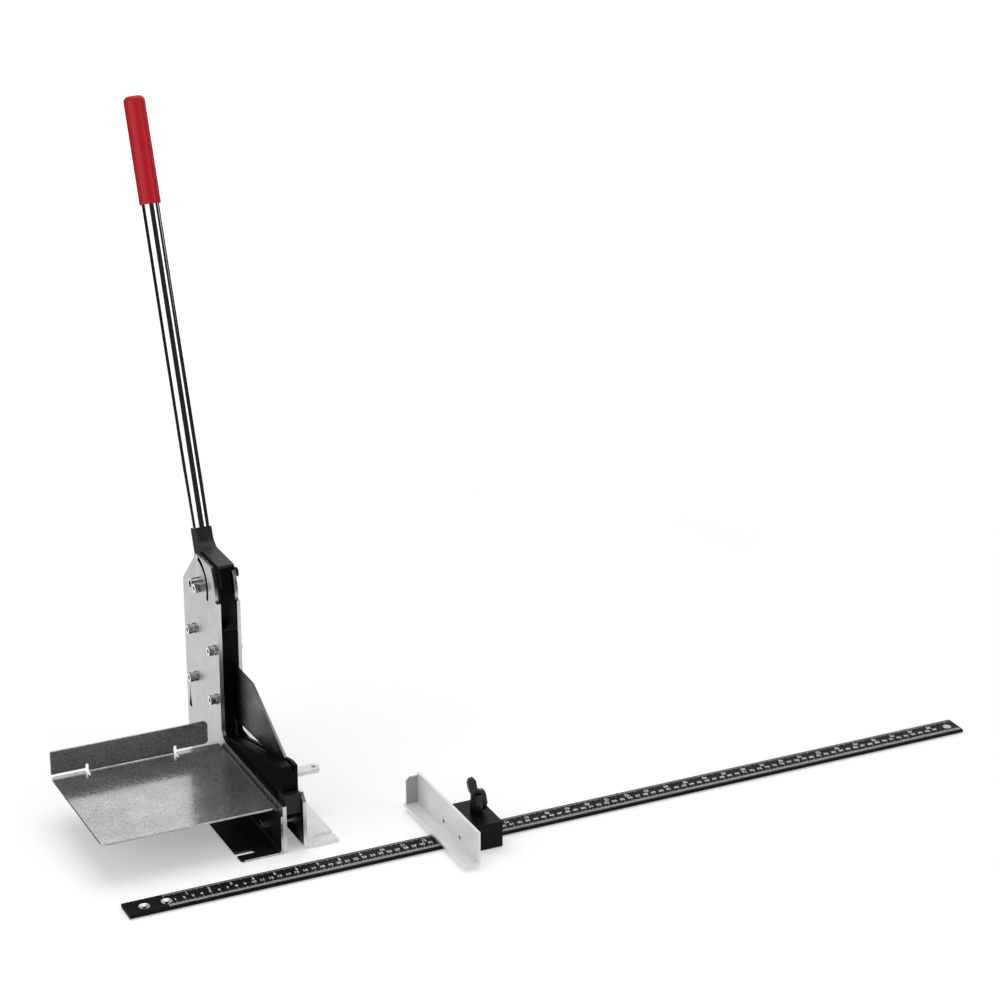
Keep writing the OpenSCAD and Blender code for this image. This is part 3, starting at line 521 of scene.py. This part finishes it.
def cad_copy(node):
    """A merged copy of a solid's mesh, with its flat faces joined."""
    bm = bmesh.new()
    bm.from_mesh(NODES[node].data)
    bmesh.ops.remove_doubles(bm, verts=bm.verts, dist=MERGE)
    bmesh.ops.dissolve_limit(bm, angle_limit=FLAT_ANGLE, verts=bm.verts, edges=bm.edges)
    return bm


def break_edges(bm, width):
    """Bevels the outer edges of a bmesh."""
    edges = [e for e in bm.edges if e.is_manifold and e.calc_face_angle_signed(0.0) > EDGE_ANGLE]
    bmesh.ops.bevel(bm, geom=edges, offset=width, offset_type="OFFSET", affect="EDGES",
                    segments=BEVEL_STEPS, profile=0.5, material=-1, clamp_overlap=True, loop_slide=True)


def mesh_object(name, bm, materials):
    """A mesh object of a bmesh, linked to the scene; the bmesh is freed."""
    if not bm.faces:
        raise RuntimeError(f"{name} has no faces")
    mesh = bpy.data.meshes.new(name)
    bm.to_mesh(mesh)
    bm.free()
    for material in materials:
        mesh.materials.append(material)
    piece = bpy.data.objects.new(name, mesh)
    bpy.context.scene.collection.objects.link(piece)
    return piece


def settle(name, bm, materials, body, slot, *nodes):
    """Makes a piece of a bmesh: it rides on a body and stands for the nodes; the slot is not used."""
    piece = mesh_object(name, bm, materials)
    piece.data.polygons.foreach_set("use_smooth", [True] * len(piece.data.polygons))
    piece.data.set_sharp_from_angle(angle=SHARP_ANGLE)
    even = piece.modifiers.new("even_normals", "WEIGHTED_NORMAL")
    even.keep_sharp = True
    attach(piece, body)
    if nodes:
        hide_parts(*nodes)


def stand_for(node, bm, *materials):
    """Makes a piece that takes a solid's place and body."""
    settle(node + "_finish", bm, materials, BODY_OF[node], SLOT_OF[node], node)


def dress(node, width, *finishes, pick=None):
    """A solid's copy with broken edges, in the solid's place; pick gives the number of a face's finish."""
    bm = cad_copy(node)
    if width:
        break_edges(bm, width)
    if pick:
        for face in bm.faces:
            face.material_index = int(pick(face))
    stand_for(node, bm, *finishes)


def box_on(bm, low, high):
    """A closed box between two corners, added to a bmesh."""
    low, high = Vector(low), Vector(high)
    place = Matrix.Translation((low + high) / 2) @ Matrix.Diagonal((*(high - low), 1.0))
    bmesh.ops.create_cube(bm, size=1.0, matrix=place)


def turned(profile, steps):
    """A solid of revolution about Z: the profile is a row of radius and height."""
    bm = bmesh.new()
    verts = [bm.verts.new((r, 0.0, z)) for r, z in profile]
    edges = [bm.edges.new(pair) for pair in zip(verts, verts[1:])]
    bmesh.ops.spin(bm, geom=verts + edges, cent=(0, 0, 0), axis=(0, 0, 1), angle=2 * math.pi, steps=steps,
                   use_merge=True)
    bmesh.ops.remove_doubles(bm, verts=bm.verts, dist=MERGE)
    bmesh.ops.recalc_face_normals(bm, faces=bm.faces)
    return bm


def quarter(r, z, radius, first, steps):
    """Points of a quarter round about a centre, from an angle in degrees."""
    turns = [math.radians(first + 90 * i / steps) for i in range(steps + 1)]
    return [(r + radius * math.cos(a), z + radius * math.sin(a)) for a in turns]


def islands(bm):
    """The separate solids of a bmesh, each with its faces and its lowest and highest corner."""
    left = set(bm.faces)
    found = []
    while left:
        reach = [left.pop()]
        faces = list(reach)
        while reach:
            near = {f for e in reach.pop().edges for f in e.link_faces} & left
            left -= near
            reach += near
            faces += near
        places = [v.co for f in faces for v in f.verts]
        corners = [Vector(pick(p[i] for p in places) for i in range(3)) for pick in (min, max)]
        found.append((faces, *corners))
    return found


def length_x(face):
    """The longest edge of a face, measured along X."""
    return max(abs(e.verts[0].co.x - e.verts[1].co.x) for e in face.edges)


def knurl(bm):
    """Grooves round the heads of screws that lie along X."""
    screws = values().screws
    sides = [f for f in bm.faces if abs(f.normal.x) < HEAD_LEAN and len(f.verts) == 4]
    least = HEAD_SHARE * max(f.calc_area() for f in sides)
    heads = [f for f in sides if HEAD_SHORT < length_x(f) < HEAD_LONG and f.calc_area() > least]
    if not heads:
        raise RuntimeError("no screw head was found for the grooves")
    bmesh.ops.inset_individual(bm, faces=heads, thickness=screws.land, depth=-screws.groove,
                               use_even_offset=True)


# Operators

class DUCTCUTTER_OT_side_plates(Operator):
    """The two side plates, the support arm and the washers"""
    bl_idname = "duct_cutter.side_plates"
    bl_label = "Side Plates"

    def execute(self, context):
        edge = values().edges.plate
        dress("left_plate", edge, zinc(), dull_zinc(), grey_zinc(), pick=self.on_left)
        dress("right_plate", edge, zinc(), dull_zinc(), pick=self.dark)
        dress("support_arm", edge, zinc())
        dress("column_washers", edge, screw_steel())
        return {"FINISHED"}

    def dark(self, face):
        """Faces that take painted shade: the walls of the arc slots round the pivot, and the faces that look at
        the other plate.
        """
        middle = face.calc_center_median()
        from_pivot = math.hypot(middle.y - PIVOT.y, middle.z - PIVOT.z)
        in_slot = abs(face.normal.x) < ACROSS and ARC_INNER_R < from_pivot < ARC_OUTER_R
        across = BETWEEN_PLATES_X - middle.x
        looks_across = abs(face.normal.x) > ALONG and face.normal.x * across > 0
        return in_slot or (looks_across and abs(across) < PLATE_REACH)

    def on_left(self, face):
        """The left plate's finishes: painted shade inside and on top of the leg, and a greyer copy of the zinc as
        painted shade on the outer face.
        """
        leg_top = face.normal.z > LEANING and face.calc_center_median().z < LEG_TOP_BELOW
        if leg_top or self.dark(face):
            return 1
        return 2 if face.normal.x < -ALONG else 0


class DUCTCUTTER_OT_feed_table(Operator):
    """The bent table sheet with its fence and bench flange"""
    bl_idname = "duct_cutter.feed_table"
    bl_label = "Feed Table"

    def execute(self, context):
        dress("feed_table", values().edges.sheet, galvanised(), dull_sheet(), pick=self.inside)
        return {"FINISHED"}

    def inside(self, face):
        """The inner side of the bent sheet, which takes painted shade: under the table, along the web and on the
        flange.
        """
        low = face.calc_center_median().z < TABLE_INSIDE_BELOW
        return low and (face.normal.x < -ACROSS or face.normal.z > ACROSS)


class DUCTCUTTER_OT_die(Operator):
    """The die, the guide bar and the spacer between the plates"""
    bl_idname = "duct_cutter.die"
    bl_label = "Die, Guide Bar and Spacer"

    def execute(self, context):
        for node in ("die_block", "front_guide_bar"):
            dress(node, values().edges.block, black_oxide())
        dress("base_spacer", values().edges.block, spacer_steel())
        return {"FINISHED"}


class DUCTCUTTER_OT_lever(Operator):
    """The lever's head, tube and grip"""
    bl_idname = "duct_cutter.lever"
    bl_label = "Lever"

    def execute(self, context):
        dress("lever_head", values().edges.head, black_oxide(), worn_black(), pick=self.on_neck)
        self.tube()
        self.grip()
        return {"FINISHED"}

    def on_neck(self, face):
        """The neck and the flat top, which are rubbed."""
        return face.calc_center_median().z > NECK_ABOVE

    def along(self, bm):
        """Puts a solid that was turned about Z on the lever's axis."""
        low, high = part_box("lever_tube")
        place = Matrix.Translation(((low.x + high.x) / 2, PIVOT.y, PIVOT.z))
        bmesh.ops.transform(bm, verts=bm.verts, matrix=place @ Matrix.Rotation(-values().lever.lean, 4, "X"))
        return bm

    def tube(self):
        """The chromed tube, with its ends' edges broken."""
        lever = values().lever
        low, high, r, rim = lever.tube_low, lever.tube_high, lever.tube_r, lever.tube_rim
        profile = [(lever.bore_r, low), (r - rim, low), (r, low + rim), (r, high - rim), (r - rim, high),
                   (lever.bore_r, high), (lever.bore_r, low)]
        stand_for("lever_tube", self.along(turned(profile, TUBE_STEPS)), chrome())

    def grip(self):
        """The red sleeve over the tube's end, closed and rounded at the top."""
        lever = values().lever
        low, high, r = lever.grip_low, lever.grip_high, lever.grip_r
        lip, top = lever.grip_lip, lever.grip_round
        inner, seat = lever.tube_r + lever.grip_fit, lever.tube_high + lever.grip_seat
        profile = [(0.0, seat), (inner, seat), (inner, low)]
        profile += quarter(r - lip, low + lip, lip, -90, LIP_STEPS)
        profile += quarter(r - top, high - top, top, 0, ROUND_STEPS)
        profile += [(0.0, high)]
        stand_for("lever_grip", self.along(turned(profile, GRIP_STEPS)), grip_vinyl())


class DUCTCUTTER_OT_blade(Operator):
    """The blade"""
    bl_idname = "duct_cutter.blade"
    bl_label = "Blade"

    def execute(self, context):
        dress("blade", values().edges.screw, blade_steel())
        return {"FINISHED"}


class DUCTCUTTER_OT_fasteners(Operator):
    """Screws, bolts, nuts, sleeves and pins"""
    bl_idname = "duct_cutter.fasteners"
    bl_label = "Fasteners"

    def execute(self, context):
        edge = values().edges.screw
        for node in ("base_sleeves", "base_nuts", "column_nuts", "rear_sleeves", "pivot_nut", "stop_pin",
                     "blade_follower", "die_screws"):
            dress(node, edge, screw_steel())
        for node in ("spacer_screws", "base_bolts", "column_screws", "pivot_bolt", "keeper_screw",
                     "arm_screws"):
            self.cap_screws(node, screw_steel())
        self.cap_screws("side_screw", worn_black())
        dress("angle_screws", edge, satin_aluminium())
        self.cross_recesses()
        self.rail_screws()
        return {"FINISHED"}

    def cap_screws(self, node, material):
        """Socket screws along X with grooves round their heads, and black in their sockets as painted shade."""
        bm = cad_copy(node)
        break_edges(bm, values().edges.screw)
        knurl(bm)
        for faces, low, high in islands(bm):
            for face in faces:
                face.material_index = int(self.in_socket(face, low, high))
        stand_for(node, bm, material, black_oxide())

    def in_socket(self, face, low, high):
        """Walls and floor of the socket in the head of a screw between two corners, which are black as painted
        shade.
        """
        middle = face.calc_center_median()
        off = middle - (low + high) / 2
        near_axis = math.hypot(off.y, off.z) < SOCKET_SHARE * (high.y - low.y)
        return near_axis and low.x + SOCKET_SKIN < middle.x < high.x - SOCKET_SKIN

    def cross_recesses(self):
        """Black crosses in the heads of the angle's screws, painted shade for their cross recesses."""
        screws = values().screws
        half_long, half_wide = screws.cross_long / 2, screws.cross_wide / 2
        solids = cad_copy("angle_screws")
        bm = bmesh.new()
        for _, low, high in islands(solids):
            x, y, z = low.x, (low.y + high.y) / 2, (low.z + high.z) / 2
            for dy, dz in ((half_long, half_wide), (half_wide, half_long)):
                box_on(bm, (x - screws.cross_proud, y - dy, z - dz),
                       (x + screws.cross_deep, y + dy, z + dz))
        solids.free()
        settle("angle_screw_crosses", bm, [black_oxide()], BODY_OF["angle_screws"], "black_steel")

    def rail_screws(self):
        """Two countersunk screws with dished heads, and black centres as painted shade in their sockets."""
        screws = values().screws
        low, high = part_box("rail_screws")
        r, top = (high.y - low.y) / 2, high.z - low.z
        floor = top - screws.socket_deep
        profile = [(0.0, 0.0), (screws.foot_r, 0.0), (screws.foot_r, screws.foot_h), (r, top),
                   (r - screws.dish_rim, top), (screws.dish_r, top - screws.dish_deep),
                   (screws.socket_r, floor), (0.0, floor)]
        bm = turned(profile, SCREW_STEPS)
        # The socket inside the dish is black, as painted shade.
        for face in bm.faces:
            middle = face.calc_center_median()
            in_centre = math.hypot(middle.x, middle.y) < screws.dish_r
            face.material_index = int(in_centre and middle.z > screws.foot_h)
        bmesh.ops.translate(bm, verts=bm.verts, vec=(low.x + r, (low.y + high.y) / 2, low.z))
        second = bmesh.ops.duplicate(bm, geom=bm.verts[:] + bm.edges[:] + bm.faces[:])["geom"]
        verts = [v for v in second if isinstance(v, bmesh.types.BMVert)]
        bmesh.ops.translate(bm, verts=verts, vec=(high.x - low.x - 2 * r, 0.0, 0.0))
        stand_for("rail_screws", bm, dished_steel(), black_oxide())


class DUCTCUTTER_OT_rail(Operator):
    """The rail, its scale and the printed marks and numbers"""
    bl_idname = "duct_cutter.rail"
    bl_label = "Rail and Scale"

    def execute(self, context):
        dress("stop_rail", values().edges.rail, rail_black(), satin_aluminium(), pick=self.in_hole)
        dress("scale_strip", 0.0, scale_black(), satin_aluminium(), pick=self.in_hole)
        self.marks()
        self.figures()
        return {"FINISHED"}

    def in_hole(self, face):
        """The bare wall of the hole near the rail's far end."""
        away = face.calc_center_median() - HOLE_AT
        return abs(face.normal.z) < ALONG and math.hypot(away.x, away.y) < HOLE_WALL_R

    def marks(self):
        """Millimetre marks along the near edge and inch marks along the far edge."""
        scale = values().scale
        low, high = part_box("stop_rail")
        near, far = low.y + scale.near_margin, high.y - scale.far_margin
        bm = bmesh.new()
        rows = ((MILLIMETRES, MILLIMETRE, MILLIMETRE_MARKS, near, 0),
                (INCH_MARK_COUNT, INCH / INCH_PARTS, INCH_MARKS, far, 1))
        for count, pitch, lengths, edge, inwards in rows:
            for number in range(count):
                x = low.x + scale.zero_x + number * pitch
                reach = next(reach for step, reach in lengths if number % step == 0)
                start = edge - inwards * reach
                if x < high.x - scale.end_margin:
                    box_on(bm, (x - scale.tick / 2, start, high.z),
                           (x + scale.tick / 2, start + reach, high.z + scale.film))
        settle("scale_marks", bm, [mark_white()], "base", "scale_face")

    def figures(self):
        """Centimetre numbers in the near row and inch numbers in the far row, none at the hole."""
        scale = values().scale
        low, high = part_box("stop_rail")
        bm = bmesh.new()
        rows = ((10 * MILLIMETRE, low.y + scale.near_row, CENTIMETRE_NUMBERS),
                (INCH, low.y + scale.far_row, INCH_NUMBERS))
        for pitch, y, numbers in rows:
            for number in numbers:
                x = low.x + scale.zero_x + number * pitch
                if abs(x - HOLE_AT.x) > scale.hole_clear:
                    self.figure(bm, str(number), Vector((x, y, high.z + scale.film / 2)))
        bmesh.ops.remove_doubles(bm, verts=bm.verts, dist=MERGE)
        settle("scale_figures", bm, [mark_white()], "base", "scale_face")

    def figure(self, bm, body, place):
        """Adds a number to a bmesh, centred on a place."""
        scale = values().scale
        curve = bpy.data.curves.new("figure", "FONT")
        curve.body = body
        curve.size = scale.figure * EM_PER_FIGURE
        curve.align_x = "CENTER"
        curve.align_y = "CENTER"
        curve.resolution_u = 2
        curve.extrude = scale.film / 2
        curve.offset = scale.bold
        holder = bpy.data.objects.new("figure", curve)
        bpy.context.scene.collection.objects.link(holder)
        bpy.context.view_layer.update()
        shown = holder.evaluated_get(bpy.context.evaluated_depsgraph_get())
        mesh = bpy.data.meshes.new_from_object(shown)
        mesh.transform(Matrix.Translation(place))
        bm.from_mesh(mesh)
        bpy.data.objects.remove(holder)
        bpy.data.curves.remove(curve)
        bpy.data.meshes.remove(mesh)


class DUCTCUTTER_OT_carriage(Operator):
    """The sliding block, its angle and the end stop"""
    bl_idname = "duct_cutter.carriage"
    bl_label = "Carriage"

    def execute(self, context):
        dress("carriage_block", values().edges.block, moulded_black())
        dress("stop_angle", values().edges.plate, satin_aluminium())
        # The end stop is darkened as painted shade.
        dress("end_stop", values().edges.plate, dull_aluminium())
        return {"FINISHED"}


class DUCTCUTTER_OT_knob(Operator):
    """The clamping knob"""
    bl_idname = "duct_cutter.knob"
    bl_label = "Clamp Knob"

    def execute(self, context):
        dress("clamp_knob", values().edges.knob, glossy_black())
        return {"FINISHED"}


class DUCTCUTTER_OT_stage(Operator):
    """Floor, dark cards for the reflections, lamps, world and camera"""
    bl_idname = "duct_cutter.stage"
    bl_label = "Stage"

    def execute(self, context):
        self.floor()
        self.under_card()
        self.far_card()
        self.dome_card()
        for softbox in SOFTBOXES:
            self.lamp(*softbox)
        self.world()
        self.camera()
        context.scene.view_settings.view_transform = "Standard"
        return {"FINISHED"}

    def combined(self, tree, operation, first, second):
        """Two values combined by a math node."""
        node = add_node(tree, "Math", {0: first, 1: second}, operation=operation)
        return node.outputs[0]

    def seen(self, tree):
        """1 for camera, glossy and transmission rays."""
        path = add_node(tree, "LightPath").outputs
        first = self.combined(tree, "MAXIMUM", path["Is Camera Ray"], path["Is Glossy Ray"])
        return self.combined(tree, "MAXIMUM", first, path["Is Transmission Ray"])

    def floor(self):
        """The pale floor: it adds light far away, so that it is white there and keeps the shadows near."""
        stage = values().stage
        bm = bmesh.new()
        bmesh.ops.create_grid(bm, x_segments=1, y_segments=1, size=stage.floor_size / 2,
                              matrix=Matrix.Translation((0, 0, FLOOR_Z)))
        material, tree, shader = new_material("pale_floor")
        base = ramp(tree, grain(tree, (3, 3, 3), 2.0), tint(stage.floor, 0.99), tint(stage.floor, 1.01))
        tree.links.new(base, shader.inputs["Base Color"])
        shader.inputs["Roughness"].default_value = 0.9
        shader.inputs["Specular IOR Level"].default_value = 0.0
        shader.inputs["Emission Color"].default_value = (1.0, 1.0, 1.0, 1.0)
        away = add_node(tree, "VectorMath", {0: place_of(tree)}, operation="LENGTH").outputs["Value"]
        limits = {"Value": away, "From Min": LIFT_FROM, "From Max": LIFT_TO, "To Min": stage.lift,
                  "To Max": stage.far_lift}
        level = add_node(tree, "MapRange", limits, interpolation_type="SMOOTHSTEP").outputs["Result"]
        lift = self.combined(tree, "MULTIPLY", self.seen(tree), level)
        tree.links.new(lift, shader.inputs["Emission Strength"])
        mesh_object("floor", bm, [material])

    def card(self, name, bm, shade):
        """A dark card that only reflections see."""
        material, tree, shader = new_material(name)
        base = ramp(tree, grain(tree, (5, 5, 5), 2.0), (shade * 0.8,) * 3, (shade * 1.2,) * 3)
        tree.links.new(base, shader.inputs["Base Color"])
        shader.inputs["Roughness"].default_value = 1.0
        shader.inputs["Specular IOR Level"].default_value = 0.0
        piece = mesh_object(name, bm, [material])
        piece.visible_camera = False
        piece.visible_diffuse = False
        piece.visible_shadow = False
        piece.visible_transmission = False
        piece.visible_volume_scatter = False

    def under_card(self):
        """Painted shadow under the table: dark ground that the sheet's inner faces reflect."""
        place = Matrix.Translation(UNDER_CARD_AT) @ Matrix.Diagonal((*UNDER_CARD_SIZE, 1, 1))
        bm = bmesh.new()
        bmesh.ops.create_grid(bm, x_segments=1, y_segments=1, size=0.5, matrix=place)
        self.card("under_card", bm, UNDER_CARD_SHADE)

    def far_card(self):
        """Dark ground beyond the white floor round the cutter."""
        bm = bmesh.new()
        for radius in FAR_CARD_RADII:
            bmesh.ops.create_circle(bm, cap_ends=False, segments=64, radius=radius,
                                    matrix=Matrix.Translation(FAR_CARD_AT))
        bmesh.ops.bridge_loops(bm, edges=bm.edges)
        self.card("far_card", bm, FAR_CARD_SHADE)

    def dome_card(self):
        """Dark room above the horizon, open at the back right."""
        bm = bmesh.new()
        bmesh.ops.create_uvsphere(bm, u_segments=72, v_segments=36, radius=DOME_RADIUS)
        away = []
        for face in bm.faces:
            middle = face.calc_center_median()
            turn = math.degrees(math.atan2(middle.x, middle.y))
            opening = DOME_OPEN_FROM < turn < DOME_OPEN_TO and middle.z < DOME_OPEN_BELOW
            if opening or middle.z < 0.0:
                away.append(face)
        bmesh.ops.delete(bm, geom=away, context="FACES")
        self.card("dome_card", bm, DOME_SHADE)

    def lamp(self, name, place, aim, wide, high, radiance):
        """A soft rectangle lamp of a given radiance."""
        data = bpy.data.lights.new(name, "AREA")
        data.shape = "RECTANGLE"
        data.size = wide
        data.size_y = high
        data.energy = radiance * math.pi * wide * high
        lamp = bpy.data.objects.new(name, data)
        lamp.location = place
        lamp.rotation_euler = (Vector(aim) - Vector(place)).to_track_quat("-Z", "Y").to_euler()
        bpy.context.scene.collection.objects.link(lamp)

    def world(self):
        """White where it is seen, weaker where it lights the cutter."""
        world = bpy.data.worlds.new("studio")
        bpy.context.scene.world = world
        world.use_nodes = True
        tree = world.node_tree
        sky = tree.nodes["Background"]
        sky.inputs["Color"].default_value = (1.0, 1.0, 1.0, 1.0)
        strength = span(tree, self.seen(tree), values().stage.ambient, 1.0, 0.0, 1.0)
        tree.links.new(strength, sky.inputs["Strength"])

    def camera(self):
        """The camera at the photograph's place."""
        data = bpy.data.cameras.new("camera")
        data.lens = values().stage.lens
        data.sensor_width = SENSOR_WIDTH
        data.clip_end = CAMERA_REACH
        camera = bpy.data.objects.new("camera", data)
        camera.location = CAMERA_AT
        camera.rotation_euler = Vector(CAMERA_LOOK).to_track_quat("-Z", "Y").to_euler()
        bpy.context.scene.collection.objects.link(camera)
        bpy.context.scene.camera = camera


PIECES = (DUCTCUTTER_OT_side_plates, DUCTCUTTER_OT_feed_table, DUCTCUTTER_OT_die, DUCTCUTTER_OT_lever,
          DUCTCUTTER_OT_blade, DUCTCUTTER_OT_fasteners, DUCTCUTTER_OT_rail, DUCTCUTTER_OT_carriage,
          DUCTCUTTER_OT_knob, DUCTCUTTER_OT_stage)


class DUCTCUTTER_PT_panel(Panel):
    """The cutter's pieces and values"""
    bl_idname = "DUCTCUTTER_PT_panel"
    bl_label = "Wiring Duct Cutter"
    bl_space_type = "VIEW_3D"
    bl_region_type = "UI"
    bl_category = "Duct Cutter"

    def draw(self, context):
        for piece in PIECES:
            self.layout.operator(piece.bl_idname)
        cutter = values()
        for group in (cutter.edges, cutter.lever, cutter.screws, cutter.finishes, cutter.scale, cutter.stage):
            column = self.layout.column()
            for name in group.__annotations__:
                column.prop(group, name)


GROUPS = (DuctCutterEdges, DuctCutterLever, DuctCutterScrews, DuctCutterFinishes, DuctCutterScale,
          DuctCutterStage, DuctCutter)


def register():
    for item in (*GROUPS, *PIECES, DUCTCUTTER_PT_panel):
        bpy.utils.register_class(item)
    bpy.types.Scene.duct_cutter = PointerProperty(type=DuctCutter)


def unregister():
    del bpy.types.Scene.duct_cutter
    for item in reversed((*GROUPS, *PIECES, DUCTCUTTER_PT_panel)):
        bpy.utils.unregister_class(item)


def main():
    register()
    for piece in PIECES:
        getattr(bpy.ops.duct_cutter, piece.bl_idname.split(".")[1])()


if __name__ == "__main__":
    main()
